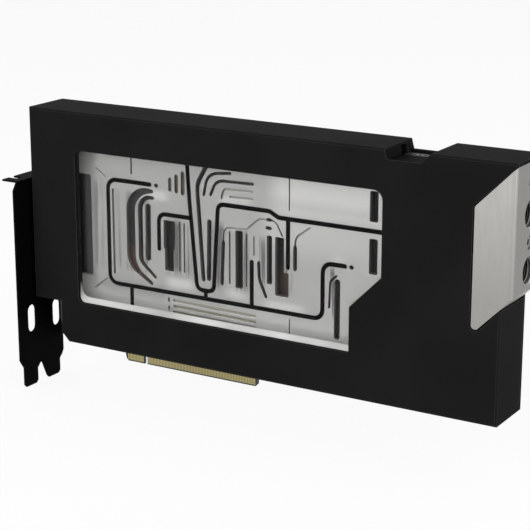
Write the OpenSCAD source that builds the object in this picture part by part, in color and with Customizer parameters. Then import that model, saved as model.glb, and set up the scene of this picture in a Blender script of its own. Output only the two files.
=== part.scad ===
// Full-cover liquid cooling block fitted to a two-slot graphics card.
// Millimetres. X runs along the card away from the slot bracket, the window
// faces -Y and Z is up. The origin is the middle of the bracket tab's seat.

/* [Cover] */
// Length of the cover, at its foot
cover_l = 281; // [262:1:340]
// Height of the cover
cover_h = 131; // [125:1:158]
// Thickness of the cover's front wall
front_wall = 3.5; // [2.5:0.1:4.5]
// Thickness of the cover's side walls
side_wall = 3; // [2:0.1:4]
// Bevel round the cover's front edge
edge_bevel = 0.9; // [0.3:0.1:2]
// Width of the corner cut away beside the bracket
foot_cut_w = 17.8; // [10:0.1:25]
// Height of the corner cut away beside the bracket
foot_cut_h = 23; // [12:0.5:30]
// Distance that the cover's top reaches past its foot, over the port block
lip_reach = 6; // [3:0.1:10]
// Depth of the notch over the power connector
notch_depth = 5.1; // [3:0.1:6]
// Length of the notch's floor
notch_l = 18.1; // [16:0.1:24]

/* [Window] */
// Left edge of the window
win_x = 30.5; // [26:0.1:40]
// Bottom edge of the window
win_z = 24.2; // [18:0.1:32]
// Cover left standing at the right of the window
win_right_margin = 63.7; // [55:0.1:90]
// Cover left standing above the window
win_top_margin = 21; // [15:0.1:30]
// Width of the step at the lower right of the window
win_step = 17.6; // [8:0.1:30]
// Height of the step, up to the start of its slope
win_step_h = 24.2; // [12:0.1:34]
// Thickness of the clear plate
clear_t = 10; // [8:0.5:12]

/* [Cold plate] */
// Thickness of the cold plate
plate_t = 8; // [7:0.5:9]
// Depth of the channels milled in the cold plate
channel_depth = 3.2; // [2:0.1:4]
// Width of the rubber cord of the gasket
gasket_w = 2.35; // [1.6:0.05:2.6]
// Depth of the gasket's groove
groove_depth = 1.4; // [1:0.1:2]

/* [Port block] */
// Length of the port block along the card
port_block_l = 20.8; // [18:0.1:26]
// Height of its front face
port_block_h = 63.4; // [58:0.1:74]
// Gap round the port block
port_block_gap = 0.8; // [0.4:0.1:1.5]
// Distance between the two ports
port_pitch = 28; // [26:0.5:34]
// Wall radius of each port, the major radius of a G1/4 thread
port_r = 6.58; // [6:0.01:7]
// Depth of each port's threaded wall
port_depth = 11; // [9:0.5:13]

/* [Circuit board] */
// Thickness of the circuit board
board_t = 1.6; // [1.2:0.1:2]
// Gap between the cold plate and the board
board_gap = 2.9; // [2.6:0.1:3.4]
// Gap between the board and the backplate
back_gap = 2.4; // [1.8:0.1:3.2]
// Thickness of the backplate
backplate_t = 2; // [1.5:0.1:3]
// Radius of the clearance holes for the screws
screw_hole_r = 1.6; // [1.5:0.05:1.8]

/* [Bracket] */
// Sheet thickness of the bracket
bracket_t = 1; // [0.8:0.1:1.2]
// Height of the bracket, from the tips of its tongues to the top of its tab
bracket_h = 120; // [116:0.5:124]
// Width of the bracket, over two slots
bracket_w = 39.2; // [38:0.1:40.5]
// Length of the tab, from the bracket's inner face
tab_l = 10.6; // [9.5:0.1:12]

/* [Hidden] */
$fn = 48;
tiny = 0.01;
seat_gap = 0.1;
plate_gap = 0.05;
board_room = 0.3;
foot_bevel = 4.6;

// Fasteners: radii of the shanks, their holes and their heads
boss_r = 3.2;
boss_hole_r = 1.35;
boss_hole_y = 12;
stud_r = 3;
stud_hole_r = 1.3;
clear_hole_r = 1.65;
clear_head_r = 2.6;
clear_head_h = 3.5;
clear_screw_y = 5;
port_head_r = 3.4;
sink_h = 1.5;

// Depths, from the cover's front face backwards
clear_y = front_wall;
plate_y = clear_y + clear_t;
plate_back = plate_y + plate_t;
board_y = plate_back + board_gap;
board_back = board_y + board_t;
backplate_y = board_back + back_gap;
back_y = backplate_y + backplate_t;

// Bracket and board. The edge contacts' foot lies below the cover, and the
// bracket's tab has its standard height above that foot.
contacts_z = -14;
tab_z = contacts_z + 104.7;
tongue_z = tab_z - bracket_h;
bracket_x = -2.5;
bracket_front = -12;
bracket_back = bracket_front + bracket_w;
slot_pitch = 20.32;
slot_y = [bracket_back - 9.6 - slot_pitch, bracket_back - 9.6];
tab_end = bracket_x - tab_l;
tab_inset = 3.3;
key_x = 58;
contact_start = key_x - 12.6;
contact_end = key_x + 72.6;
key_w = 1.9;
contact_edge_h = 8.25;
board_z = contacts_z + contact_edge_h;
board_x = side_wall + 0.6;
board_r = cover_l - 19;
board_top = cover_h - side_wall - 6.5;
board_ear_top = tab_z - 2;

// Window
win_r = cover_l - win_right_margin;
win_low_r = win_r - win_step;
win_top = cover_h - win_top_margin;

// Port block, on the right of the cover
port_x = cover_l - 15;
port_r_x = port_x + port_block_l;
port_top = cover_h - 1.9;
port_slope = port_block_l;
port_left_top = port_top - port_slope;
port_low = port_left_top - port_block_h;
port_right_low = port_low + port_slope;
port_foot = 8;
port_y = 18.7;
port_z = [port_right_low + 9.8, port_right_low + 9.8 + port_pitch];
port_screw_z = [port_z[0] + port_pitch / 2, port_z[1] + 15];
port_screw_r = 1.9;
port_screw_head_h = 4.5;
port_screw_end = [port_x - port_foot - 10, port_x + 1];
foot_z = [port_low + 6, port_left_top - 1];
duct_r = 2.8;
seal_w = 1.2;
seal_d = 1.4;
duct_y = clear_y + clear_t / 2;

// Plates
plate_x = win_x + 3.7;
ear_x = win_x - 6;
ear_z = [win_z + 14, win_top - 14.5];
plate_r = port_x - port_foot;
plate_z = 11;
plate_top = cover_h - 11.4;
plate_corner = 2;
plug_cut_z = win_top + 1;
loop_low = plate_z + 6.2;
loop_high = plate_top - 6.2;
loop_right = plate_r - 7.5;
loop_step_z = plug_cut_z - 3;

// Power connector, and the notch over it
plug_x = cover_l - 63.3;
notch_x = plug_x + 1.4;
notch_r = notch_x + notch_l;
notch_floor = cover_h - notch_depth;
connector_w = 18.6;
connector_d = 9;
connector_x = plug_x + 1.2;
connector_top = notch_floor - 1;
connector_h = 13.4;
connector_y = board_y - connector_d;
loop_step_x = plug_x - 4.5;

// Channel layout: drawn on the nominal window and stretched with it
function lay(x, z) = [win_x + (x - 30.5) * (win_r - win_x) / 186.8,
                      win_z + (z - 24.2) * (win_top - win_z) / 85.8];

// Outline helpers
function unit(v) = v / norm(v);
function turn(a, b, c) = cross([b.x - a.x, b.y - a.y], [c.x - b.x, c.y - b.y]);
function fillet(a, b, c, r, n) =
    let (u = unit(a - b), v = unit(c - b), half = acos(u * v) / 2,
         centre = b + unit(u + v) * r / sin(half),
         p = b + u * r / tan(half), q = b + v * r / tan(half),
         start = atan2(p.y - centre.y, p.x - centre.x),
         sweep = sign(turn(a, b, c)) * (180 - 2 * half))
    [for (i = [0:n]) centre + r * [cos(start + sweep * i / n), sin(start + sweep * i / n)]];
function rounded(pts, n = 5) =
    [for (i = [0:len(pts) - 1])
        let (a = pts[(i + len(pts) - 1) % len(pts)], b = pts[i], c = pts[(i + 1) % len(pts)])
        for (q = b[2] > 0 ? fillet([a.x, a.y], [b.x, b.y], [c.x, c.y], b[2], n) : [[b.x, b.y]]) q];
function route(pts, r, n = 5) =
    concat([pts[0]],
        [for (i = [1:1:len(pts) - 2]) for (q = fillet(pts[i - 1], pts[i], pts[i + 1], r, n)) q],
        [pts[len(pts) - 1]]);
function side_of(pts, i) =
    let (d = unit(pts[min(i + 1, len(pts) - 1)] - pts[max(i - 1, 0)])) [-d.y, d.x];
function round_end(p, side, w) =
    let (start = atan2(side.y, side.x)) [for (i = [1:5]) p + w / 2 * [cos(start - 30 * i), sin(start - 30 * i)]];
function ribbon(pts, w, end_w) =
    let (last = len(pts) - 1, half = [for (i = [0:last]) (end_w + (w - end_w) * (1 - pow(2 * i / last - 1, 2))) / 2])
    concat([for (i = [0:last]) pts[i] + side_of(pts, i) * half[i]],
        round_end(pts[last], side_of(pts, last), end_w),
        [for (i = [last:-1:0]) pts[i] - side_of(pts, i) * half[i]],
        round_end(pts[0], -side_of(pts, 0), end_w));

// A flat outline in X and Z, made solid between two depths
module layer(y0, y1) translate([0, y1, 0]) rotate([90, 0, 0]) linear_extrude(height = y1 - y0) children();
// A round pin along Y
module pin_y(x, z, y0, y1, r) translate([x, y1, z]) rotate([90, 0, 0]) cylinder(h = y1 - y0, r = r);
// A round pin along X
module pin_x(y, z, x0, x1, r) translate([x0, y, z]) rotate([0, 90, 0]) cylinder(h = x1 - x0, r = r);
// A block between two corners
module block(a, b) translate(a) cube(b - a);
// A line with round ends, of even width or narrower at its ends
module line(pts, w, end_w) polygon(ribbon(pts, w, is_undef(end_w) ? w : end_w));
// A rectangle with round corners between two of its corners
module pocket(a, b, r) polygon(rounded(with_radius([a, [b.x, a.y], b, [a.x, b.y]], r)));
// A slot with round ends between two points
module bar(a, b, w) line([a, b], w);
// How far a bevel runs past a corner: freely at an outer one, to the mitre at an inner one
function overrun(a, b, d, c) = turn(a, b, d) > 0 ? c : c * tan(acos(unit(b - a) * unit(d - b)) / 2);
// Wedges that bevel an outline's front edge, given anticlockwise, from edge number first on
module front_bevels(pts, first, y, c) {
    n = len(pts);
    for (i = [first:n - 1]) {
        a = pts[i];
        b = pts[(i + 1) % n];
        before = overrun(pts[(i + n - 1) % n], a, b, c);
        after = overrun(a, b, pts[(i + 2) % n], c);
        translate([a.x, y, a.y]) rotate([90, 0, 0]) rotate([0, 0, atan2(b.y - a.y, b.x - a.x)])
            translate([-before, 0, 0]) rotate([90, 0, 90])
                linear_extrude(height = norm(b - a) + before + after)
                    polygon([[-c, c], [2 * c, c], [-c, -2 * c]]);
    }
}

// Outlines
// What the cover and the backplate share: all but the right end. The notch comes first.
notch_edges = 3;
function card_outline() = [
    [notch_r + notch_depth, cover_h], [notch_r, notch_floor], [notch_x, notch_floor], [plug_x, cover_h],
    [0, cover_h], [0, foot_cut_h], [foot_cut_w, foot_cut_h], [foot_cut_w, foot_bevel],
    [foot_cut_w + foot_bevel, 0], [cover_l, 0]];
function cover_outline() = concat(card_outline(), [
    [cover_l, cover_h - 6 - lip_reach], [cover_l + lip_reach, cover_h - 6], [cover_l + lip_reach, cover_h]]);
function window_outline() = [
    [win_x, win_z, 3], [win_low_r, win_z, 1], [win_low_r, win_z + win_step_h, 0.8],
    [win_r, win_z + win_step_h + win_step, 0.8], [win_r, win_top, 5], [win_x, win_top, 3]];
function port_outline(grow) = [
    [port_x - grow, port_low + 3 - grow, 1.8],
    [port_x + 3 + grow * 0.4, port_low + 3 - grow, 1],
    [port_r_x + grow + tiny, port_right_low - grow * 0.4, 0],
    [port_r_x + grow + tiny, port_top + grow * 1.4, 0],
    [port_x - grow, port_left_top + grow * 0.4, 2]];
function clear_outline() = [
    [ear_x, plate_z], [plate_r, plate_z], [plate_r, plate_top], [plug_x + 24, plate_top],
    [plug_x + 24, plug_cut_z], [plug_x - 1.5, plug_cut_z], [plug_x - 1.5, plate_top], [ear_x, plate_top]];
function with_radius(pts, r) = [for (p = pts) [p.x, p.y, r]];

// Places of the fasteners
clear_screws = concat([for (x = [ear_x + 8, 90, 130, 170, 210]) [x, plate_z + 3]],
    [for (z = [40, 86]) [plate_r - 3.4, z]], [for (x = [ear_x + 8, 75, 130, 185]) [x, plate_top - 3]]);
through_screws = [[98, 26], [158, 26], [98, 100], [158, 100], [plate_x + 6, 64],
    [plate_r - 12, 60], [win_r + 14, plate_z + 7], [plug_x - 18, plate_top - 12]];
boss_z = cover_h - side_wall - 2.7;
cover_bosses = [[side_wall + 5, boss_z], [120, boss_z], [plug_x - 20, boss_z],
    [cover_l - side_wall - 5, 8], [foot_cut_w + 9.4, 7.6], [150, 7.6]];

module cover() color("#1b1b1d") difference() {
    union() {
        difference() {
            layer(0, backplate_y) polygon(cover_outline());
            cover_hollow();
        }
        for (p = cover_bosses) pin_y(p.x, p.y, front_wall - tiny, boss_end(p), boss_r);
    }
    layer(-1, front_wall + 1) polygon(rounded(window_outline()));
    layer(-1, backplate_y + 1) polygon(rounded(port_outline(port_block_gap)));
    front_bevels(cover_outline(), notch_edges, 0, edge_bevel);
    board_passage();
    socket_passage();
    plug_well();
    for (p = cover_bosses) pin_y(p.x, p.y, boss_hole_y, backplate_y + 1, boss_hole_r);
    pin_x(port_y, port_screw_z[1], port_screw_end[1] - 0.3, port_r_x, port_screw_r + 0.1);
}
function boss_end(p) = p.y > board_top || p.x > board_r ? backplate_y : board_y - seat_gap;
// The space inside the cover, behind its front wall
module cover_hollow() {
    w = side_wall;
    layer(front_wall, backplate_y + 1) polygon([
        [foot_cut_w + w, w + 2.5], [foot_cut_w + w + 2.5, w], [cover_l - w, w],
        [cover_l - w, port_low - w], [port_x - 0.5, port_low - w], [port_x - 0.5, cover_h - w],
        [notch_r + notch_depth + 2.4, cover_h - w], [notch_r + 1, notch_floor - w], [notch_x - w - 0.4, notch_floor - w],
        [plug_x - w, cover_h - w], [w, cover_h - w], [w, foot_cut_h + w], [foot_cut_w + w, foot_cut_h + w]]);
}
// Where the board and its edge contacts pass under the cover's bottom wall
module board_passage() {
    block([-1, board_y - board_room, board_z - 1], [board_r + board_room, backplate_y + 1, side_wall + tiny]);
    block([foot_cut_w - 1, board_y - board_room, -1], [foot_cut_w + side_wall + 2.6, backplate_y + 1, foot_cut_h + side_wall + tiny]);
    block([-1, board_y - board_room, foot_cut_h - 1], [foot_cut_w + side_wall, backplate_y + 1, foot_cut_h + side_wall + tiny]);
}
// Where the sockets pass through the cover's left wall, and the wall under them
module socket_passage() {
    y = board_y - socket_d - 0.6;
    block([-1, y, foot_cut_h - 1], [side_wall + tiny, backplate_y + 1, board_ear_top + 0.5]);
    block([-1, y, foot_cut_h - 1], [socket_back + 0.5, backplate_y + 1, foot_cut_h + side_wall + tiny]);
}
// The opening in the notch's floor for the plug
module plug_well() {
    block([connector_x - 0.4, connector_y - 0.4, notch_floor - 6], [connector_x + connector_w + 0.4, board_y + 0.2, cover_h + 1]);
    block([connector_x - 5, connector_y + 1.5, notch_floor - 6], [connector_x + 2, board_y - 1, cover_h - 1.2]);
    block([notch_x - 0.4, board_y - 0.2, notch_floor - 6], [notch_r - 0.5, backplate_y + 1, cover_h + 1]);
}

module clear_plate() color([0.85, 0.9, 0.92, 0.35]) difference() {
    layer(clear_y, plate_y - plate_gap) polygon(rounded(with_radius(clear_outline(), plate_corner)));
    for (p = clear_screws) {
        pin_y(p.x, p.y, clear_y - 1, plate_y + 1, clear_hole_r);
        pin_y(p.x, p.y, clear_y - 1, clear_y + 1 + clear_head_h, clear_head_r + 0.2);
    }
    for (i = [0, 1]) {
        layer(plate_y - duct_depth, plate_y + 1) pocket(
            [duct_x, min(link_z[i], duct_z[i]) - duct_room], [duct_end, max(link_z[i], duct_z[i]) + duct_room], 1.5);
        pin_x(duct_y, duct_z[i], duct_end - 3, plate_r + 1, duct_r);
    }
}
duct_x = win_r + 1.5;
duct_end = loop_right - 3.5;
duct_depth = 7.5;
duct_room = 4.7;
duct_z = [port_z[0] - 2, port_z[1] - 4.7];

// The milled runs of the cold plate, as lines: each has its points, its width and the width of its ends
channel_runs = [
    [route([lay(74.5, 90.6), lay(60.4, 90.6), lay(60.4, 48), lay(73.4, 39.4)], 12, 8), 5.8, 2.2],
    [route([lay(75, 87.1), lay(66.8, 87.1), lay(66.8, 51), lay(76, 43.2)], 6.6, 7), 3.2, 1.9],
    [[lay(71.9, 82), lay(71.6, 53.6)], 3.6],
    [route([lay(110.5, 110.5), lay(103.4, 98), lay(107, 46.6)], 12, 6), 2.6],
    [[lay(111, 78.6), lay(110.4, 47.6)], 2.8],
    [route([lay(107.6, 92.8), lay(110, 104.6), lay(124, 106.2)], 8, 6), 1.7],
    [route([lay(111.9, 93.4), lay(115.4, 101.5), lay(137.6, 102.1)], 6.5, 6), 1.7],
    [[lay(119.6, 68.6), lay(118.6, 46)], 2.2],
    [route([lay(141.3, 60.6), lay(141.5, 52), lay(145.6, 43)], 9, 4), 2],
    [[lay(146.3, 84.4), lay(148.2, 84.4)], 1.9],
    [[lay(77.2, 94.2), lay(77.5, 94.2)], 2.3],
    [[lay(195.6, 66), lay(195.9, 66)], 2.4],
    [[lay(146.3, 80), lay(148.2, 80)], 1.9],
    [[lay(163, 71.6), lay(163, 60.4)], 2.3],
    [route([lay(183.2, 43), lay(183.7, 57), lay(187.2, 60.2)], 3, 4), 1.3],
    [[lay(187.8, 57), lay(187.8, 28)], 3.4]];
// Deeper pockets, each between two corners
deep_pockets = [
    [lay(81.7, 60), lay(89.2, 76)], [lay(82.4, 48), lay(88.2, 63)], [lay(127, 45), lay(131.6, 76.2)],
    [lay(146.1, 50), lay(149.3, 76)], [lay(151.2, 44.4), lay(156.5, 76)], [lay(155.6, 44.4), lay(159.3, 57.6)],
    [lay(205.6, 91), lay(210.3, 106.8)], [lay(205.6, 64), lay(210.3, 82.4)]];
deep = channel_depth + 1.8;
// From the last two pockets a bore runs inside the plate to a slot under each duct
link_x = lay(208, 0).x;
link_z = [lay(0, 73.2).y, lay(0, 98.9).y];
link_r = 1.5;
link_y = plate_y + deep - link_r;
link_slot_x = duct_x + 3;
link_slot_w = 3.4;
fin_depth = 0.4 * channel_depth;
// Shallow lines: the parallel fins at the foot and by the top of the window, and the edges between the pools
fin_runs = concat(
    [for (i = [0:3]) [[lay(88, 32 - 3.3 * i), lay(139, 31.2 - 3.3 * i)], 1.7]],
    [for (i = [0:2]) [[lay(86.2 + 4.1 * i, 98.6 + i * 2), lay(86.2 + 4.1 * i, 93 - i * 0.4)], 2.2 + 0.2 * i]],
    [for (i = [0:2]) [[lay(84.6, 32.4 - 4.6 * i), lay(84.6, 31.2 - 4.6 * i)], 1.5]],
    [[route([lay(118.7, 92.6), lay(120, 97.6), lay(137.6, 98.2)], 3, 5), 1.4],
     [[lay(124, 93.7), lay(137.6, 94.3)], 1.2],
     [route([lay(119.6, 68), lay(120, 77), lay(134, 77.6), lay(142, 84.4), lay(151.4, 84.4), lay(155.4, 77)], 4.2), 1.1],
     [route([lay(163, 70), lay(163.2, 77), lay(171.6, 83.2)], 5.5), 1.1],
     [[lay(138.4, 74), lay(138.4, 64.4)], 0.8],
     [[lay(48.9, 88.6), lay(48.9, 42)], 1.5],
     [[lay(92.2, 75.4), lay(92.2, 49)], 1.6],
     [[lay(95, 75.4), lay(95, 49)], 1],
     [[lay(123.6, 74.6), lay(123.4, 47)], 1.3],
     [[lay(134, 75), lay(133.8, 47)], 1],
     [[lay(61.4, 107.5), lay(61.4, 99)], 1.1],
     [[lay(60.3, 33), lay(60.3, 22)], 1.5],
     [[lay(159.5, 110), lay(159.5, 91)], 0.7],
     [[lay(159.8, 32.6), lay(159.8, 20)], 0.8],
     [[lay(35.6, 31.6), lay(44, 38)], 0.9],
     [[lay(38, 99.6), lay(44, 95.4)], 0.7]]);

module cold_plate() color("#c9c8c4") difference() {
    union() {
        layer(plate_y, plate_back) polygon(rounded(with_radius(clear_outline(), plate_corner)));
        block([die_c.x - 20, plate_back - tiny, die_c.y - 22], [die_c.x + 20, die_y, die_c.y + 22]);
        for (p = through_screws) pin_y(p.x, p.y, plate_back - tiny, board_y, stud_r);
    }
    layer(plate_y - 1, plate_y + groove_depth) gasket_shape(gasket_w + 0.2);
    layer(plate_y - 1, plate_y + channel_depth) for (run = channel_runs) line(run[0], run[1], run[2]);
    layer(plate_y - 1, plate_y + fin_depth) for (run = fin_runs) line(run[0], run[1]);
    layer(plate_y - 1, plate_y + deep) for (p = deep_pockets) pocket(p[0], p[1], 0.8);
    // The step beside the window's left edge
    layer(plate_y - 1, plate_y + channel_depth) pocket([ear_x - 3, ear_z[0]], [plate_x, ear_z[1]], 1);
    for (i = [0, 1]) {
        pin_x(link_y, link_z[i], link_x, link_slot_x, link_r);
        layer(plate_y - 1, plate_y + deep) bar([link_slot_x, link_z[i] - 3], [link_slot_x, link_z[i] + 3], link_slot_w);
    }
    for (p = clear_screws) pin_y(p.x, p.y, plate_y - 1, plate_y + clear_screw_y + 0.5, clear_hole_r);
    for (p = through_screws) pin_y(p.x, p.y, plate_y + 4, board_y + 1, stud_hole_r);
    for (p = choke_places) block([p.x - 6, choke_y - 0.6, p.y - 6], [p.x + 6, plate_back + 1, p.y + 6]);
    pin_x(port_y, port_screw_z[0], port_screw_end[0] - 1, plate_r + 1, port_screw_r + 0.1);
}
// The rubber gasket: a loop round the flow, and the walls that part it. Its lines
// meet a little short of each other's middle, inside their width.
module gasket_shape(w) {
    foot = 36;
    top = 94.3;
    short = 0.4;
    line(route([lay(73.2, top), lay(45.7, top), lay(45.7, foot), lay(179.3, foot), lay(179.3, 66), lay(192, 66)], 5), w);
    line(route([[lay(97, 0).x, loop_high - short], lay(98.6, 88), lay(103, 40.5), lay(113.4, 40.5), lay(116.4, 89),
        lay(148, 89), lay(153, 86.3), [loop_right - short, lay(0, 86.3).y]], 3.6), w);
    line(route([[lay(96, 0).x, loop_high], [loop_step_x, loop_high], [loop_step_x, loop_step_z],
        [loop_right, loop_step_z], [loop_right, loop_low], [lay(60.2, 0).x, loop_low],
        lay(60.2, foot - short)], 2.4), w);
    bar(lay(108.3, 40.6), lay(108.3, foot + short), w);
    line(route([lay(98.6 + short, 79.1), lay(78.8, 79.1), lay(78.8, 59.6)], 4), w);
    bar(lay(137, 60.5), lay(137, foot + short), w);
    bar(lay(158.8, 60.5), lay(158.8, 86.3 - short), w);
}
module flow_gasket() color("#141414") layer(plate_y - plate_gap, plate_y + groove_depth - seat_gap) gasket_shape(gasket_w);

// A screw along Y: its head sunk at y, its shank running back
module sunk_screw(x, z, y, l, r, head_r, head_h) difference() {
    union() {
        pin_y(x, z, y, y + head_h, head_r);
        pin_y(x, z, y + head_h - tiny, y + l, r);
    }
    translate([x, y - tiny, z]) rotate([-90, 30, 0]) cylinder(h = head_h * 0.6, r = head_r * 0.5, $fn = 6);
}
module clear_plate_screws() color("#8d8f92")
    for (p = clear_screws) sunk_screw(p.x, p.y, clear_y + 1, plate_y + clear_screw_y - clear_y - 1, clear_hole_r - 0.1, clear_head_r, clear_head_h - seat_gap);

module port_block() color("#c4c3bf") difference() {
    intersection() {
        union() {
            layer(0, backplate_y - 0.4) polygon(rounded(port_outline(0)));
            block([plate_r, clear_y + 0.3, foot_z[0]], [port_x + 4, plate_back, foot_z[1]]);
        }
        port_plan();
    }
    for (z = port_z) {
        pin_x(port_y, z, port_r_x - port_depth, port_r_x + 1, port_r);
        translate([port_r_x - 0.8, port_y, z]) rotate([0, 90, 0]) cylinder(h = 0.8 + tiny, r1 = port_r, r2 = port_r + 0.8);
        pin_x(port_y, z, port_x + 3, port_r_x - port_depth + 1, 4.2);
    }
    for (i = [0, 1]) {
        pin_x(duct_y, duct_z[i], plate_r - 1, port_x + 8, duct_r);
        pin_y(port_x + 6, duct_z[i], duct_y, port_y, duct_r);
        pin_x(duct_y, duct_z[i], plate_r - 1, plate_r + seal_d + 0.05, duct_r + seal_w + 0.05);
    }
    for (z = port_screw_z) {
        pin_x(port_y, z, plate_r - 1, port_r_x + 1, port_screw_r + 0.1);
        pin_x(port_y, z, port_r_x - port_screw_head_h, port_r_x + 1, port_head_r + 0.2);
    }
}
// Seen from above, the corner between the front and the end face is round
module port_plan() translate([0, 0, -1]) linear_extrude(height = cover_h + 2)
    polygon(rounded([[plate_r - 1, -1, 0], [port_r_x - 3, -1, 0], [port_r_x - 3, 0, 0], [port_r_x - 2.9, 0, 0],
        [port_r_x, 0, 2.6], [port_r_x, backplate_y, 1], [plate_r - 1, backplate_y, 0]]));
module port_block_seals() color("#141414") for (i = [0, 1])
    translate([plate_r + 0.05, duct_y, duct_z[i]]) rotate([0, 90, 0]) difference() {
        cylinder(h = seal_d - 0.05, r = duct_r + seal_w);
        translate([0, 0, -1]) cylinder(h = seal_d + 2, r = duct_r + 0.1);
    }
// The lower screw runs into the cold plate, the upper one into the cover
module port_block_screws() color("#8d8f92") for (i = [0, 1]) difference() {
    union() {
        pin_x(port_y, port_screw_z[i], port_r_x - port_screw_head_h, port_r_x - 1, port_head_r);
        pin_x(port_y, port_screw_z[i], port_screw_end[i], port_r_x - port_screw_head_h + tiny, port_screw_r);
    }
    translate([port_r_x - 3, port_y, port_screw_z[i]]) rotate([0, 90, 0]) cylinder(h = 3, r = 1.7, $fn = 6);
}

// The circuit board and what it carries
die_c = [128, 62];
package_t = 1.2;
die_y = board_y - package_t - 0.85;
chip_places = concat([for (s = [-1, 1]) for (z = [-20, 0, 20]) [die_c.x + 42 * s, die_c.y + z]],
    [for (s = [-1, 1]) [die_c.x + 12 * s, die_c.y + 39]]);
stage_places = concat([for (i = [0:7]) [56, 34 + 8.5 * i]], [for (i = [0:8]) [218, 32 + 8 * i]]);
choke_places = concat([for (i = [0:4]) [66.4, 37 + 13.5 * i]], [for (i = [0:4]) [234, 35 + 13.5 * i]]);
choke_y = board_y - 4.4;
can_places = [[11.5, board_top - 8], [11.5, board_top - 18.5], [19.4, board_top - 13]];

function board_outline() = [
    [bracket_x + bracket_t, board_z, 0], [contact_start - 2.2, board_z, 1], [contact_start - 0.8, contacts_z + 1.4, 0],
    [contact_start + 0.6, contacts_z, 0], [contact_end - 0.6, contacts_z, 0], [contact_end + 0.8, contacts_z + 1.4, 0],
    [contact_end + 1.2, board_z, 1], [board_r, board_z, 2], [board_r, board_top, 2], [board_x, board_top, 2],
    [board_x, board_ear_top, 1], [bracket_x + bracket_t, board_ear_top, 1]];
module circuit_board() color("#15181a") difference() {
    layer(board_y, board_back) polygon(rounded(board_outline(), 4));
    layer(board_y - 1, board_back + 1) bar([key_x, contacts_z - 1], [key_x, contacts_z + 7.6], key_w);
    for (p = through_screws) pin_y(p.x, p.y, board_y - 1, board_back + 1, screw_hole_r);
    for (p = cover_bosses) if (boss_end(p) < board_y) pin_y(p.x, p.y, board_y - 1, board_back + 1, screw_hole_r);
    for (z = lug_z) pin_y(bracket_x + lug_l - 3, z, board_y - 1, board_back + 1, boss_hole_r);
}
// Plated contacts on both faces of the board's foot, in the two groups beside the key
module edge_contacts() color("#d8b45a") for (y = [[board_y - 0.05, board_y], [board_back, board_back + 0.05]])
    for (x = [[contact_start + 0.8, key_x - 1.6], [key_x + 1.6, contact_end - 0.8]])
        block([x[0], y[0], contacts_z + 0.5], [x[1], y[1], contacts_z + 6.5]);
module processor_package() color("#20352b")
    block([die_c.x - 26, board_y - package_t, die_c.y - 24], [die_c.x + 26, board_y, die_c.y + 24]);
module processor_die() color("#5b6068")
    block([die_c.x - 11.5, die_y, die_c.y - 16], [die_c.x + 11.5, board_y - package_t, die_c.y + 16]);
module on_board(places, w, h, y0, y1) for (p = places) block([p.x - w / 2, y0, p.y - h / 2], [p.x + w / 2, y1, p.y + h / 2]);
module memory_chips() color("#17181a") on_board(chip_places, 12, 14, board_y - 1.1, board_y);
module memory_pads() color("#8fa0b4") on_board(chip_places, 11, 13, plate_back, board_y - 1.1);
module power_stages() color("#1c1d1f") on_board(stage_places, 6, 5, board_y - 0.8, board_y);
module power_stage_pads() color("#8fa0b4") on_board(stage_places, 5.6, 4.6, plate_back, board_y - 0.8);
module chokes() color("#3a3d40") on_board(choke_places, 10, 10, choke_y, board_y);
module capacitors() color("#b9bcc0") for (p = can_places) {
    block([p.x - 3.7, board_y - 1, p.y - 3.7], [p.x + 3.7, board_y, p.y + 3.7]);
    pin_y(p.x, p.y, board_y - 7.6, board_y - 1 + tiny, 3.5);
}

// Power connector: twelve square cells in two rows, each round a pin
cell_w = 1.9;
cell_pitch = 2.95;
row_pitch = 3.1;
cell_floor = connector_top - 11;
pin_w = 0.8;
module cells(w, z0, z1) for (i = [0:5]) for (j = [0, 1]) {
    x = connector_x + connector_w / 2 + (i - 2.5) * cell_pitch;
    y = connector_y + 3 + j * row_pitch;
    block([x - w / 2, y - w / 2, z0], [x + w / 2, y + w / 2, z1]);
}
module power_connector() color("#151515") difference() {
    block([connector_x, connector_y, connector_top - connector_h], [connector_x + connector_w, board_y, connector_top]);
    cells(cell_w, cell_floor, connector_top + 1);
}
module power_pins() color("#d8b45a") cells(pin_w, cell_floor, connector_top - 2.5);

// The two-slot bracket
lug_l = 9;
lug_h = 8;
lug_z = [foot_cut_h - 15, tab_z - 11];
lug_head_h = 1.2;
socket_z = [for (i = [0:3]) 31 + 16.6 * i];
socket_w = [16.4, 16.4, 16.4, 15.2];
socket_d = 6;
socket_back = 9;
socket_wall = 0.6;
module io_bracket() color("#111214") difference() {
    union() {
        bracket_plate();
        block([tab_end, bracket_front + tab_inset, tab_z - bracket_t], [bracket_x - bracket_t + tiny, bracket_back - tab_inset, tab_z]);
        for (z = lug_z) block([bracket_x - tiny, board_back, z - lug_h / 2], [bracket_x + lug_l, board_back + bracket_t, z + lug_h / 2]);
    }
    for (y = slot_y) {
        pin_z(tab_end + 4.2, y + 1.8, tab_z - 3, tab_z + 1, 2.25);
        block([tab_end - 1, y - 0.45, tab_z - 3], [tab_end + 4.2, y + 4.05, tab_z + 1]);
    }
    for (i = [0:3]) block([bracket_x - bracket_t - 1, board_y - socket_d - 0.15, socket_z[i] - socket_w[i] / 2 - 0.15],
        [bracket_x + tiny, board_y + 0.15, socket_z[i] + socket_w[i] / 2 + 0.15]);
    for (z = lug_z) pin_y(bracket_x + lug_l - 3, z, board_back - 1, board_back + 3, boss_hole_r);
}
module pin_z(x, y, z0, z1, r) translate([x, y, z0]) cylinder(h = z1 - z0, r = r);
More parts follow.
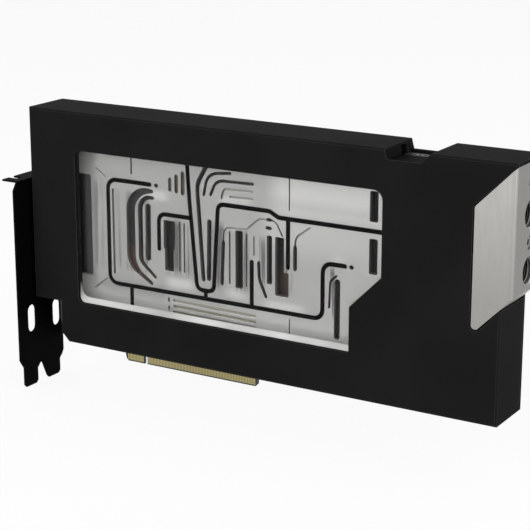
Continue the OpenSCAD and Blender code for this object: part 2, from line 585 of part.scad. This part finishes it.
// The bracket's upright sheet, drawn from the card's side with Y across
tongue_w = 11.8;
shoulder_z = contacts_z + 0.4;
module bracket_plate() translate([bracket_x - bracket_t, 0, 0]) rotate([90, 0, 90]) linear_extrude(height = bracket_t)
    difference() {
        polygon(rounded(concat(
            [[bracket_front, shoulder_z + 1, 1.5], [slot_y[0] - tongue_w / 2, shoulder_z - 4, 1]],
            tongue(slot_y[0]), [[(slot_y[0] + slot_y[1]) / 2 - 0.6, shoulder_z - 3.2, 1.5]], tongue(slot_y[1]),
            [[bracket_back - 1.5, shoulder_z - 5, 0], [bracket_back, shoulder_z - 2.5, 0],
             [bracket_back, tab_z - 3, 0], [bracket_back - tab_inset, tab_z, 0], [bracket_front + tab_inset, tab_z, 0],
             [bracket_front, tab_z - 5, 0]])));
        for (i = [0, 1]) bar([slot_y[i] + 2.2 + 1.9 * i, vent_z[i] + 3.4], [slot_y[i] + 2.2 + 1.9 * i, vent_z[i] + vent_h - 3.4], 6.8);
    }
vent_z = [2, 0];
vent_h = 16;
function tongue(y) = [
    [y - tongue_w / 2, tongue_z + 1.5, 0], [y - tongue_w / 2 + 1.5, tongue_z, 0],
    [y + tongue_w / 2 - 1.5, tongue_z, 0], [y + tongue_w / 2, tongue_z + 1.5, 0],
    [y + tongue_w / 2, shoulder_z - 7, 0]];
module bracket_screws() color("#8d8f92") for (z = lug_z) {
    pin_y(bracket_x + lug_l - 3, z, board_back + bracket_t, board_back + bracket_t + lug_head_h, 2.3);
    pin_y(bracket_x + lug_l - 3, z, board_y + 0.1, board_back + bracket_t + tiny, 1.2);
}

// A socket shell lying on the board, its mouth through the bracket
socket_mouth = bracket_x - bracket_t;
socket_depth = 7.6;
module socket(z, w, notch) difference() {
    block([socket_mouth, board_y - socket_d, z - w / 2], [socket_back, board_y, z + w / 2]);
    translate([socket_mouth - 1, 0, 0]) rotate([90, 0, 90]) linear_extrude(height = socket_depth + 1)
        polygon([[board_y - socket_wall, z - w / 2 + socket_wall + notch], [board_y - socket_wall - notch, z - w / 2 + socket_wall],
            [board_y - socket_d + socket_wall, z - w / 2 + socket_wall], [board_y - socket_d + socket_wall, z + w / 2 - socket_wall],
            [board_y - socket_wall, z + w / 2 - socket_wall]]);
}
module socket_tongue(z, w) block([socket_mouth + 0.8, board_y - socket_d / 2 - 0.45, z - w / 2 + 2.4],
    [socket_mouth + socket_depth + tiny, board_y - socket_d / 2 + 0.45, z + w / 2 - 2.4]);
module display_sockets() color("#9a9ca0") for (i = [0:2]) {
    socket(socket_z[i], socket_w[i], 1.8);
    socket_tongue(socket_z[i], socket_w[i]);
}
module video_socket() color("#9a9ca0") {
    socket(socket_z[3], socket_w[3], 1.2);
    socket_tongue(socket_z[3], socket_w[3]);
}

module backplate() color("#1d1d1f") difference() {
    union() {
        layer(backplate_y, back_y) polygon(concat(card_outline(), [[cover_l, cover_h]]));
        for (p = through_screws) pin_y(p.x, p.y, board_back, backplate_y + tiny, stud_r);
    }
    for (p = concat(through_screws, cover_bosses)) {
        pin_y(p.x, p.y, board_back - 1, back_y + 1, screw_hole_r);
        translate([p.x, back_y - sink_h, p.y]) rotate([-90, 0, 0]) cylinder(h = sink_h + 0.1, r1 = screw_hole_r, r2 = screw_hole_r + sink_h + 0.1);
    }
}
pad_places = [[128, 62, 60, 56], [56, 66, 12, 66], [220, 64, 22, 68]];
module backplate_pads() color("#8fa0b4") for (p = pad_places)
    block([p[0] - p[2] / 2, board_back, p[1] - p[3] / 2], [p[0] + p[2] / 2, backplate_y, p[1] + p[3] / 2]);
// A countersunk screw from the back, its shank running forwards to y_end
module back_screw(p, y_end, r) difference() {
    union() {
        translate([p.x, back_y - sink_h + 0.1, p.y]) rotate([-90, 0, 0]) cylinder(h = sink_h - 0.1, r1 = screw_hole_r - 0.1, r2 = screw_hole_r + sink_h - 0.15);
        pin_y(p.x, p.y, y_end, back_y - sink_h + 0.1 + tiny, r);
    }
    translate([p.x, back_y - 0.9, p.y]) rotate([-90, 0, 0]) cylinder(h = 2, r = 1.05, $fn = 6);
}
module backplate_screws() color("#2a2a2c") for (p = through_screws) back_screw(p, plate_y + 5, stud_hole_r - 0.08);
module cover_screws() color("#2a2a2c") for (p = cover_bosses) back_screw(p, boss_hole_y + 2, boss_hole_r - 0.08);

module in_frame() translate([-(tab_end + bracket_x - bracket_t) / 2, -(bracket_front + bracket_back) / 2, bracket_t - tab_z]) children();
in_frame() cover();
in_frame() clear_plate();
in_frame() cold_plate();
in_frame() flow_gasket();
in_frame() clear_plate_screws();
in_frame() port_block();
in_frame() port_block_seals();
in_frame() port_block_screws();
in_frame() circuit_board();
in_frame() edge_contacts();
in_frame() processor_package();
in_frame() processor_die();
in_frame() memory_chips();
in_frame() memory_pads();
in_frame() power_stages();
in_frame() power_stage_pads();
in_frame() chokes();
in_frame() capacitors();
in_frame() power_connector();
in_frame() power_pins();
in_frame() io_bracket();
in_frame() bracket_screws();
in_frame() display_sockets();
in_frame() video_socket();
in_frame() backplate();
in_frame() backplate_pads();
in_frame() backplate_screws();
in_frame() cover_screws();
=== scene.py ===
"""Looks of the cooling block: materials, small detail pieces, lights and camera."""
import math
from functools import cached_property

import bmesh
import bpy
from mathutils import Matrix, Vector


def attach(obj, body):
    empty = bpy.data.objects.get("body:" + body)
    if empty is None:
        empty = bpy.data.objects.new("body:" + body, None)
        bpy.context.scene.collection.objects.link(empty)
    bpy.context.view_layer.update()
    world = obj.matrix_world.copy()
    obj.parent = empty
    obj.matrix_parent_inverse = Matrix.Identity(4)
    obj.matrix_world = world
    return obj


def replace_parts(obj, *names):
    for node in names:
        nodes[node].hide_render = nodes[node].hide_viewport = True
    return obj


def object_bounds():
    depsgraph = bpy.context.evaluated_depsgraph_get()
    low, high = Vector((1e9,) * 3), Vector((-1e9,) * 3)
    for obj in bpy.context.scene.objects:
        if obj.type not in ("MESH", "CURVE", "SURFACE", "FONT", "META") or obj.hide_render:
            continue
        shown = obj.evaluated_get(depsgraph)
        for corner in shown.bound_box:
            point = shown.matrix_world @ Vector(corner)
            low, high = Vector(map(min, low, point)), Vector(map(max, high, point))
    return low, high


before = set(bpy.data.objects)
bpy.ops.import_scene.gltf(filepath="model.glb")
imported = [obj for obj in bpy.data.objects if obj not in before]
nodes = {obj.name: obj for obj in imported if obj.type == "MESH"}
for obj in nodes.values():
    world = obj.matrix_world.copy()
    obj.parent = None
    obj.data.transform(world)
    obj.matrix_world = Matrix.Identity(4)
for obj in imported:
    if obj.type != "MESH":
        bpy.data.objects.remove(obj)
cad_low, cad_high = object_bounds()

MM = 0.001
X, Y, Z = 0, 1, 2
WHITE = (1, 1, 1, 1)
# Sizes and places are those of the drawing, in millimetres. Its zero is the cover's lower left
# front corner, and the part's is the seat of the bracket's tab
OFFSET = Vector((8.3, -7.6, -89.7))


def at(x, y, z):
    """A point of the drawing as a point of the part, in metres."""
    return (Vector((x, y, z)) + OFFSET) * MM


def rgba(colour, level=1.0):
    """A colour, made darker or lighter, as a socket takes it."""
    return (colour[0] * level, colour[1] * level, colour[2] * level, 1.0)


# Node graphs

# The sockets of a Mix node that hold colours
MIX_A, MIX_B, MIX_RESULT = 6, 7, 2


class Graph:
    """The node tree of a material or a world, built by naming each node's inputs."""

    def __init__(self, owner, output="OutputMaterial"):
        owner.use_nodes = True
        self.owner = owner
        self.tree = owner.node_tree
        self.tree.nodes.clear()
        self.out = self.add(output)

    def add(self, kind, inputs=None, **props):
        node = self.tree.nodes.new("ShaderNode" + kind)
        for key, value in props.items():
            setattr(node, key, value)
        for key, value in (inputs or {}).items():
            self.put(node.inputs[key], value)
        return node

    def put(self, socket, value):
        if isinstance(value, bpy.types.NodeSocket):
            self.tree.links.new(value, socket)
        else:
            socket.default_value = value

    @cached_property
    def axes(self):
        """The object's X, Y and Z."""
        source = self.add("TexCoord").outputs["Object"]
        return self.add("SeparateXYZ", {"Vector": source}).outputs

    def noise(self, scale, stretch=(1, 1, 1), detail=3.0):
        source = self.add("TexCoord").outputs["Object"]
        place = self.add("Mapping", {"Vector": source, "Scale": stretch}).outputs[0]
        inputs = {"Vector": place, "Scale": scale, "Detail": detail}
        return self.add("TexNoise", inputs).outputs["Fac"]

    def ramp(self, value, low, high, a, b):
        """value from low to high becomes a number from a to b."""
        inputs = {"Value": value, "From Min": low, "From Max": high, "To Min": a, "To Max": b}
        return self.add("MapRange", inputs).outputs[0]

    def spread(self, noise, a, b, low=0.3, high=0.7):
        """A noise, which mostly lies between low and high, becomes a number from a to b."""
        return self.ramp(noise, low, high, a, b)

    def along(self, axis, start, end, a=0.0, b=1.0):
        """A number that goes from a to b between two places on an axis of the drawing."""
        shift = OFFSET[axis]
        return self.ramp(self.axes[axis], (start + shift) * MM, (end + shift) * MM, a, b)

    def patch(self, x, z, soft=4):
        """1 inside a rectangle of the drawing, given as two spans, with soft sides."""
        inside = 1.0
        for axis, (low, high) in ((X, x), (Z, z)):
            up = self.along(axis, low - soft, low + soft)
            down = self.along(axis, high - soft, high + soft, 1.0, 0.0)
            inside = self.math("MULTIPLY", self.math("MULTIPLY", up, down), inside)
        return inside

    def patches(self, spans, soft=4):
        """1 inside any of several rectangles."""
        inside = 0.0
        for x, z in spans:
            inside = self.math("MAXIMUM", inside, self.patch(x, z, soft))
        return inside

    def facing(self, axis, low, high):
        """0 to 1 as the surface turns towards an axis."""
        normal = self.add("NewGeometry").outputs["True Normal"]
        parts = self.add("SeparateXYZ", {"Vector": normal}).outputs
        return self.ramp(parts[axis], low, high, 0.0, 1.0)

    def edges(self, radius):
        """1 along sharp edges, 0 on the faces."""
        soft = self.add("Bevel", {"Radius": radius}, samples=6).outputs[0]
        true = self.add("NewGeometry").outputs["True Normal"]
        return self.ramp(self.vector("DOT_PRODUCT", soft, true), 0.995, 0.8, 0.0, 1.0)

    def bump(self, height, strength, distance, bevel):
        soft = self.add("Bevel", {"Radius": bevel}, samples=4).outputs[0]
        inputs = {"Height": height, "Strength": strength, "Distance": distance, "Normal": soft}
        return self.add("Bump", inputs).outputs[0]

    def math(self, operation, a, b):
        return self.add("Math", {0: a, 1: b}, operation=operation).outputs[0]

    def vector(self, operation, a, b):
        return self.add("VectorMath", {0: a, 1: b}, operation=operation).outputs["Value"]

    def mix(self, factor, a, b):
        node = self.add("Mix", data_type="RGBA")
        self.put(node.inputs[0], factor)
        self.put(node.inputs[MIX_A], a)
        self.put(node.inputs[MIX_B], b)
        return node.outputs[MIX_RESULT]

    def seen(self):
        """1 for what the camera, a reflection or the clear plate shows, 0 for light."""
        rays = self.add("LightPath").outputs
        seen = self.math("MAXIMUM", rays["Is Camera Ray"], rays["Is Glossy Ray"])
        return self.math("MAXIMUM", seen, rays["Is Transmission Ray"])

    def surface(self, shader):
        self.tree.links.new(shader.outputs[0], self.out.inputs["Surface"])
        return self.owner


def new_material(name):
    return Graph(bpy.data.materials.new(name))


# Materials


def plain(name, colour, rough, metallic=0.0, specular=0.5, grain=1500, relief=0.25,
          distance=2e-5, bevel=2e-4, edge_highlight=None, shade=None):
    """A surface with fine grain, a slow change of tone and slightly rounded edges.

    The edges get a painted highlight in the given tone, and shade is a rectangle with painted
    shade where it faces up.
    """
    g = new_material(name)
    fine = g.noise(grain)
    slow = g.noise(18, detail=2.0)
    tone = g.mix(g.spread(slow, 0, 1, 0.35, 0.65), rgba(colour, 0.88), rgba(colour, 1.12))
    # Painted highlight along the edges
    if edge_highlight:
        tone = g.mix(g.edges(bevel * 2), tone, rgba(edge_highlight))
    # Painted shade where the rectangle faces up
    if shade:
        shadow = g.math("MULTIPLY", g.patch(*shade, soft=0.5), g.facing(Z, 0.2, 0.4))
        tone = g.mix(shadow, tone, rgba(colour, 0.35))
    return g.surface(g.add("BsdfPrincipled", {
        "Base Color": tone,
        "Metallic": metallic,
        "Roughness": g.spread(fine, rough - 0.06, rough + 0.06),
        "Specular IOR Level": specular,
        "Normal": g.bump(fine, relief, distance, bevel),
    }))


def clear_acrylic():
    """Refracting clear plastic that lets the lamps through."""
    g = new_material("clear_acrylic")
    body = g.add("BsdfPrincipled", {
        "Base Color": (0.985, 0.99, 0.99, 1),
        "Roughness": g.spread(g.noise(60), 0.0, 0.02),
        "IOR": 1.49,
        "Transmission Weight": 1.0,
        "Specular Tint": (0.14, 0.14, 0.14, 1),
    })
    through = g.add("BsdfTransparent", {"Color": (0.96, 0.97, 0.97, 1)})
    shadow = g.add("LightPath").outputs["Is Shadow Ray"]
    return g.surface(g.add("MixShader", {0: shadow, 1: body.outputs[0], 2: through.outputs[0]}))


# Depths in the cold plate, behind the cover's front
PLATE_FACE, CHANNEL_FLOOR, POCKET_FLOOR = 13.5, 16.7, 18.5

# Tones of its face, its shallow lines, its channels and its pockets; all but the face are darker
# with painted shade, deepest in the lines at the top left and least on the floor at the left
# strip, and some take a copper hue
NICKEL = (0.368, 0.364, 0.353)
LINE, LINE_AT_FOOT, LINE_AT_TOP = (0.24, 0.24, 0.23), (0.24, 0.235, 0.19), (0.085, 0.085, 0.055)
FLOOR_DARK, FLOOR_LIGHT = (0.015, 0.015, 0.015), (0.036, 0.036, 0.034)
FLOOR_COPPER, FLOOR_AT_LEFT = (0.085, 0.05, 0.04), (0.11, 0.11, 0.112)
POCKET_DARK, POCKET_LIGHT = (0.012, 0.012, 0.012), (0.026, 0.026, 0.025)
POCKET_COPPER = (0.045, 0.03, 0.026)

# Where its face has painted shade in streaks beside the pockets, where it has a painted glare,
# and where its channels look like copper: spans of X and of Z
POCKET_SIDE_SHADE = (
    ((84, 100), (48, 76)),
    ((113, 122), (44, 78)),
    ((126, 136), (44, 76)),
    ((140, 162), (48, 74)),
    ((52, 72), (46, 88)),
    ((36, 41), (44, 92)),
    ((182, 188), (38, 64)),
)
GLARE = (
    ((152, 214), (89.5, 90.5)),
    ((84, 100), (41, 43)),
    ((122, 132), (41, 42)),
    ((146, 168), (38, 39.5)),
    ((184, 192), (69, 69.5)),
    ((118, 136), (91.5, 92)),
    ((66, 84), (88, 90)),
)
COPPER = (((50, 80), (30, 58)), ((150, 162), (40, 60)))


def milled_plate():
    """Nickel plate: a fine milled face with painted light and shade, and painted shade that
    darkens the channels with their depth.
    """
    g = new_material("milled_nickel")
    grain = g.noise(1600, detail=2.0)
    slow = g.noise(22, detail=2.0)
    streaks = g.noise(420, stretch=(1, 1, 0.03), detail=2.0)
    across = g.noise(700, stretch=(1, 1, 0.04))
    foot = g.along(Z, 34, 20)
    side = g.along(X, 44, 30)
    # Painted shade in streaks beside the pockets
    pocket_side_shade = g.math("MULTIPLY", g.patches(POCKET_SIDE_SHADE, 2.5), g.spread(streaks, 0.05, 0.95, 0.45, 0.56))

    # Shares of the face take on other levels of the nickel's tone, one after another: the grain,
    # and otherwise painted light and shade
    shares = (
        # Painted shade, darker towards the left
        (g.along(X, 30, 190, 0.6, 0.0), 0.72),
        (g.spread(grain, 0.0, 0.25), 0.8),
        # Painted shade beside the pockets
        (pocket_side_shade, 0.3),
        # Painted shade at the lower left
        (g.patch((34, 84), (28, 38), 3), 0.7),
        # Painted glare
        (g.patches(GLARE, 2.8), 1.75),
        # Painted light at the top right and towards the right
        (g.patch((150, 214), (94, 112), 5), 1.35),
        (g.patch((146, 216), (70, 90), 5), 1.1),
        # Painted light along the foot and towards the left side
        (foot, 1.4),
        (g.math("MULTIPLY", side, 0.5), 1.1),
        # Painted highlights along the edges
        (g.math("MULTIPLY", g.edges(3e-4), 0.7), 1.7),
    )
    face = g.mix(g.spread(slow, 0, 1, 0.35, 0.65), rgba(NICKEL, 0.92), rgba(NICKEL, 1.08))
    for share, level in shares:
        face = g.mix(share, face, rgba(NICKEL, level))

    copper = g.patches(COPPER)
    mottle = g.spread(across, 0.0, 1.0)
    # The shallow lines: painted shade, darkest at the top left and yellower at the foot
    line = g.mix(g.patch((87, 141), (18, 33)), rgba(LINE), rgba(LINE_AT_FOOT))
    line = g.mix(g.patch((84, 97), (90, 104), 2), line, rgba(LINE_AT_TOP))
    # The floors of channels and pockets: painted shade with a random mottle, a copper hue in
    # places and less shade at the left strip
    floor = g.mix(mottle, rgba(FLOOR_DARK), rgba(FLOOR_LIGHT))
    floor = g.mix(copper, floor, rgba(FLOOR_COPPER))
    floor = g.mix(g.patch((28, 38), (30, 106), 1), floor, rgba(FLOOR_AT_LEFT))
    pocket = g.mix(mottle, rgba(POCKET_DARK), rgba(POCKET_LIGHT))
    pocket = g.mix(copper, pocket, rgba(POCKET_COPPER))

    # Painted shade that deepens with depth: the face, then the lines, the channel floors and the
    # pockets
    tone = g.mix(g.along(Y, PLATE_FACE + 0.1, PLATE_FACE + 1.2), face, line)
    tone = g.mix(g.along(Y, PLATE_FACE + 1.4, CHANNEL_FLOOR), tone, floor)
    tone = g.mix(g.along(Y, CHANNEL_FLOOR + 0.2, POCKET_FLOOR), tone, pocket)
    return g.surface(g.add("BsdfPrincipled", {
        "Base Color": tone,
        "Metallic": g.ramp(g.math("MAXIMUM", foot, side), 0.0, 1.0, 0.8, 0.1),
        "Roughness": g.spread(grain, 0.3, 0.38),
        "Normal": g.bump(grain, 0.1, 4e-6, 3e-4),
    }))


# The port block's tone, its two bores and how far their threads start behind the end face
PORT_TONE = (0.31, 0.306, 0.293)
PORT_Y, PORT_Z, PORT_MOUTH_X, PORT_R = 18.7, (75.5, 103.5), 286.0, 6.56
THREAD_INSET = 0.4


def port_metal():
    """Brushed nickel with a blasted end face, painted light that grows towards the top, and
    painted shade in the bores that darkens inwards.
    """
    g = new_material("brushed_nickel")
    lines = g.noise(1400, (0.3, 0.3, 0.05), 4.0)
    speck = g.noise(4000, detail=2.0)
    end = g.facing(X, 0.8, 0.95)
    # Painted light, lighter towards the top
    tone = g.mix(g.along(Z, 62, 118), rgba(PORT_TONE, 0.9), rgba(PORT_TONE, 1.2))
    tone = g.mix(g.spread(lines, 0.0, 0.5), tone, rgba(PORT_TONE, 0.88))
    dots = g.spread(speck, 0.0, 1.0, 0.4, 0.6)
    tone = g.mix(end, tone, g.mix(dots, rgba(PORT_TONE, 0.68), rgba(PORT_TONE, 0.84)))
    # Painted shade inside the bores, behind the start of the thread
    inside = g.along(X, PORT_MOUTH_X - THREAD_INSET, PORT_MOUTH_X - 4)
    across = g.add("CombineXYZ", {"Y": g.axes[Y], "Z": g.axes[Z]}).outputs[0]
    for z in PORT_Z:
        spot = at(0, PORT_Y, z)
        away = g.vector("DISTANCE", across, (0, spot.y, spot.z))
        bore = g.ramp(away, (PORT_R + 0.3) * MM, (PORT_R + 0.1) * MM, 0.0, 1.0)
        tone = g.mix(g.math("MULTIPLY", bore, inside), tone, rgba(PORT_TONE, 0.1))
    return g.surface(g.add("BsdfPrincipled", {
        "Base Color": tone,
        "Metallic": 1.0,
        "Roughness": g.math("ADD", g.spread(lines, 0.39, 0.46), g.math("MULTIPLY", end, 0.1)),
        "Normal": g.bump(g.mix(end, lines, speck), 0.1, 8e-6, 3e-4),
    }))


def socket_metal():
    """Bright metal, brushed along X."""
    g = new_material("socket_shell")
    colour = (0.58, 0.58, 0.57)
    lines = g.noise(1400, (0.04, 1, 1), 4.0)
    slow = g.noise(20, detail=2.0)
    tone = g.mix(g.spread(lines, 0, 1), rgba(colour, 0.96), rgba(colour, 1.04))
    tone = g.mix(g.spread(slow, 0.0, 0.35), tone, rgba(colour, 0.85))
    return g.surface(g.add("BsdfPrincipled", {
        "Base Color": tone,
        "Metallic": 1.0,
        "Roughness": g.spread(lines, 0.22, 0.29),
        "Normal": g.bump(lines, 0.08, 8e-6, 3e-4),
    }))


def rim_acrylic():
    """Chamfered clear plastic, drawn opaque: a painted highlight at the foot and the right, and
    elsewhere as dark as the wall, a painted dark reflection of it.
    """
    g = new_material("rim_acrylic")
    foot = g.along(Z, 36, 26)
    right = g.along(X, 190, 198, 0.0, 0.7)
    slow = g.spread(g.noise(30, detail=2.0), 0.36, 0.6)
    light = g.math("MAXIMUM", foot, right)
    tone = g.mix(light, (0.01, 0.01, 0.01, 1), (0.95, 0.95, 0.93, 1))
    return g.surface(g.add("BsdfPrincipled", {
        "Base Color": g.mix(slow, (0, 0, 0, 1), tone),
        "Roughness": 0.35,
        "Specular IOR Level": 0.15,
    }))


# The floor of the notch in the cover's top edge, which lies in shade: spans of X and of Z
NOTCH = ((218, 238), (100, 130))

# Painted highlights along the edges, and painted shade on the notch's floor
anodised = plain("black_anodised", (0.0092, 0.0092, 0.0091), 0.5, specular=0.004, grain=2600,
                 relief=0.35, bevel=3e-4, edge_highlight=(0.045, 0.045, 0.045), shade=NOTCH)
nickel_port = port_metal()
steel = plain("screw_steel", (0.3, 0.3, 0.3), 0.4, metallic=1.0, relief=0.1)
black_steel = plain("black_steel", (0.02, 0.02, 0.02), 0.4, metallic=0.6, relief=0.1)
rubber = plain("black_rubber", (0.004, 0.004, 0.004), 0.55, specular=0.1, grain=1200, relief=0.2)
solder_mask = plain("solder_mask", (0.008, 0.01, 0.011), 0.32, grain=500, relief=0.1)
gold = plain("gold_plate", (0.42, 0.36, 0.17), 0.34, metallic=1.0, grain=900, relief=0.08,
             bevel=8e-5)
laminate = plain("green_laminate", (0.03, 0.09, 0.05), 0.5)
silicon = plain("silicon", (0.12, 0.13, 0.15), 0.15, metallic=0.3, relief=0.02)
moulded = plain("moulded_chip", (0.018, 0.018, 0.02), 0.55, relief=0.3)
pad_stuff = plain("thermal_pad", (0.32, 0.38, 0.46), 0.8, grain=600, relief=0.4)
ferrite = plain("ferrite", (0.05, 0.05, 0.055), 0.6, metallic=0.1, grain=900, relief=0.5)
can_metal = plain("can_aluminium", (0.6, 0.61, 0.62), 0.28, metallic=1.0, relief=0.1)
connector_stuff = plain("connector_moulding", (0.01, 0.01, 0.01), 0.4, relief=0.2)
# Painted highlights along the edges
powder = plain("powder_coat", (0.0018, 0.0018, 0.0018), 0.55, specular=0.012, grain=1800,
               relief=0.6, distance=4e-5, edge_highlight=(0.009, 0.009, 0.009))


def dress(names, material):
    for name in names:
        for slot in nodes[name].material_slots:
            slot.link = "OBJECT"
            slot.material = material


dress(["cover", "backplate"], anodised)
dress(["clear_plate"], clear_acrylic())
dress(["cold_plate"], milled_plate())
dress(["flow_gasket", "port_block_seals"], rubber)
dress(["port_block"], nickel_port)
dress(["clear_plate_screws", "port_block_screws", "bracket_screws"], steel)
dress(["cover_screws", "backplate_screws"], black_steel)
dress(["circuit_board"], solder_mask)
dress(["edge_contacts", "power_pins"], gold)
dress(["processor_package"], laminate)
dress(["processor_die"], silicon)
dress(["memory_chips", "power_stages"], moulded)
dress(["memory_pads", "power_stage_pads", "backplate_pads"], pad_stuff)
dress(["chokes"], ferrite)
dress(["capacitors"], can_metal)
dress(["power_connector"], connector_stuff)
dress(["io_bracket"], powder)
dress(["display_sockets", "video_socket"], socket_metal())

# Detail pieces


def piece(name, build, material):
    """A new mesh piece that rides on the part's one body."""
    mesh = bpy.data.meshes.new(name)
    bm = bmesh.new()
    build(bm)
    bmesh.ops.recalc_face_normals(bm, faces=bm.faces)
    bm.to_mesh(mesh)
    bm.free()
    obj = bpy.data.objects.new(name, mesh)
    bpy.context.scene.collection.objects.link(obj)
    mesh.materials.append(material)
    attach(obj, "root")
    return obj


def add_block(bm, low, high):
    """A block between two points of the drawing."""
    a, b = at(*low), at(*high)
    for v in bmesh.ops.create_cube(bm, size=1.0)["verts"]:
        v.co = Vector(((a[i] + b[i]) / 2 + v.co[i] * (b[i] - a[i]) for i in range(3)))


def quads(bm, one, two):
    """Faces between two loops with as many corners."""
    for i in range(len(one)):
        k = (i + 1) % len(one)
        bm.faces.new((one[i], one[k], two[k], two[i]))


# The circuit board's key gap and two faces, and the contacts' numbers and size
KEY_X, BOARD_FRONT, BOARD_BACK = 58.0, 24.4, 26.0
SHORT_GROUP, LONG_GROUP = 11, 71
CONTACT_W, CONTACT_T, CONTACT_Z = 0.7, 0.05, (-13.3, -7.7)


def fingers(bm):
    """Separate gold contacts at 1 mm pitch on both faces, in a short and a long group."""
    centres = [KEY_X - 2.0 - i for i in range(SHORT_GROUP)]
    centres += [KEY_X + 1.6 + i for i in range(LONG_GROUP)]
    faces = ((BOARD_FRONT - CONTACT_T, BOARD_FRONT), (BOARD_BACK, BOARD_BACK + CONTACT_T))
    low, high = CONTACT_Z
    for x in centres:
        for front, back in faces:
            add_block(bm, (x - CONTACT_W / 2, front, low), (x + CONTACT_W / 2, back, high))


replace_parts(piece("edge_fingers", fingers, gold), "edge_contacts")

# The G1/4 thread's pitch and inner radius, how many turns are made and in how many steps, the
# steps in which it runs out, and its ridge: distances along the bore with their radii
PITCH, THREAD_MINOR, TURNS, STEPS, RUN_OUT = 1.337, 5.75, 6.5, 64, 20
RIDGE = ((0.0, PORT_R), (0.28, THREAD_MINOR), (0.55, THREAD_MINOR), (0.83, PORT_R))


def threads(bm):
    """The thread's ridges, wound inside each port."""
    last = int(TURNS * STEPS)
    start = PORT_MOUTH_X - THREAD_INSET
    for z in PORT_Z:
        rings = []
        for i in range(last + 1):
            angle = 2 * math.pi * i / STEPS
            back = start - PITCH * i / STEPS
            height = max(0.05, min(1.0, i / RUN_OUT, (last - i) / RUN_OUT))
            ring = []
            for along, radius in RIDGE:
                r = PORT_R - (PORT_R - radius) * height
                place = at(back - along, PORT_Y + r * math.cos(angle), z + r * math.sin(angle))
                ring.append(bm.verts.new(place))
            rings.append(ring)
        for one, two in zip(rings, rings[1:]):
            quads(bm, one, two)
        bm.faces.new(rings[0])
        bm.faces.new(rings[-1])


piece("port_threads", threads, nickel_port)

# The window's outline and the inner edge of the clear plate's chamfer, as corners in X and Z with
# their radii, and the depths between which the chamfer lies
WINDOW = ((30.6, 24.3, 3.0), (199.6, 24.3, 1.2), (199.6, 48.4, 0.8),
          (217.2, 66.0, 1.2), (217.2, 109.9, 5.0), (30.6, 109.9, 3.0))
CHAMFER = ((31.0, 27.2, 4.5), (198.5, 27.2, 0.6), (198.5, 48.9, 0.8),
           (216.1, 66.5, 0.6), (216.1, 109.5, 4.5), (31.0, 109.5, 3.0))
RIM_FRONT, RIM_BACK = 1.9, 3.48


def rounded(corners, steps=8):
    """An outline with rounded corners, as a list of points that runs anticlockwise."""
    points = []
    for i, (x, z, radius) in enumerate(corners):
        corner = Vector((x, z))
        before = (Vector(corners[i - 1][:2]) - corner).normalized()
        after = (Vector(corners[(i + 1) % len(corners)][:2]) - corner).normalized()
        half = before.angle(after) / 2
        centre = corner + (before + after).normalized() * radius / math.sin(half)
        first = corner + before * radius / math.tan(half) - centre
        last = corner + after * radius / math.tan(half) - centre
        for k in range(steps + 1):
            points.append(centre + first.lerp(last, k / steps).normalized() * radius)
    return points


def rim(bm):
    """The chamfered rim of the clear plate where it stands up inside the window."""
    outlines = ((WINDOW, RIM_BACK), (WINDOW, RIM_FRONT), (CHAMFER, RIM_BACK))
    loops = [[bm.verts.new(at(p.x, y, p.y)) for p in rounded(corners)] for corners, y in outlines]
    for j in range(3):
        quads(bm, loops[j], loops[(j + 1) % 3])


piece("window_rim", rim, rim_acrylic())

# Stage: a pale floor just under the part's lowest point, a white world, lamps and the camera


def floor_material():
    """White to the camera and in reflections, but keeping part of the shadow."""
    g = new_material("floor")
    matt = g.add("BsdfDiffuse", {"Color": (0.86, 0.86, 0.86, 1)}).outputs[0]
    glow = g.add("Emission", {"Color": WHITE, "Strength": 1.0}).outputs[0]
    share = g.math("MULTIPLY", g.seen(), 0.9)
    return g.surface(g.add("MixShader", {0: share, 1: matt, 2: glow}))


FLOOR_GAP = 0.0005
bpy.ops.mesh.primitive_circle_add(vertices=96, radius=6.0, fill_type="NGON",
                                  location=(0.15, 0, cad_low.z - FLOOR_GAP))
floor = bpy.context.object
floor.name = "floor"
floor.data.materials.append(floor_material())


def white_world():
    """White where it is seen, and dimmer as a source of light."""
    g = Graph(bpy.data.worlds.new("world"), "OutputWorld")
    strength = g.ramp(g.seen(), 0.0, 1.0, 0.4, 1.0)
    return g.surface(g.add("Background", {"Color": WHITE, "Strength": strength}))


bpy.context.scene.world = white_world()

# Each lamp's place, width and power
LAMPS = {
    "key": ((-0.7, -1.7, 0.95), 2.0, 27),
    "fill": ((1.9, -0.3, 0.5), 3.0, 46),
    "top": ((0.3, 0.9, 1.7), 1.6, 3),
    "front": ((0.1, -2.0, -0.02), 2.4, 14),
}
LAMP_AIM = (0.14, 0.0, -0.03)
LENS, SENSOR = 114.04, 36.0
CAMERA_PLACE, CAMERA_AIM = (0.5855, -0.7166, 0.2052), (0.1605, -0.0099, -0.0258)


def aimed(name, data, place, aim):
    """A lamp or a camera that stands in one place and looks at another."""
    obj = bpy.data.objects.new(name, data)
    bpy.context.scene.collection.objects.link(obj)
    obj.location = place
    obj.rotation_euler = (Vector(aim) - Vector(place)).to_track_quat("-Z", "Y").to_euler()
    return obj


for name, (place, width, power) in LAMPS.items():
    lamp = bpy.data.lights.new(name, "AREA")
    lamp.shape = "DISK"
    lamp.size = width
    lamp.energy = power
    aimed(name, lamp, place, LAMP_AIM).visible_camera = False

camera = bpy.data.cameras.new("camera")
camera.lens = LENS
camera.sensor_width = SENSOR
bpy.context.scene.camera = aimed("camera", camera, CAMERA_PLACE, CAMERA_AIM)
bpy.context.scene.view_settings.view_transform = "Standard"
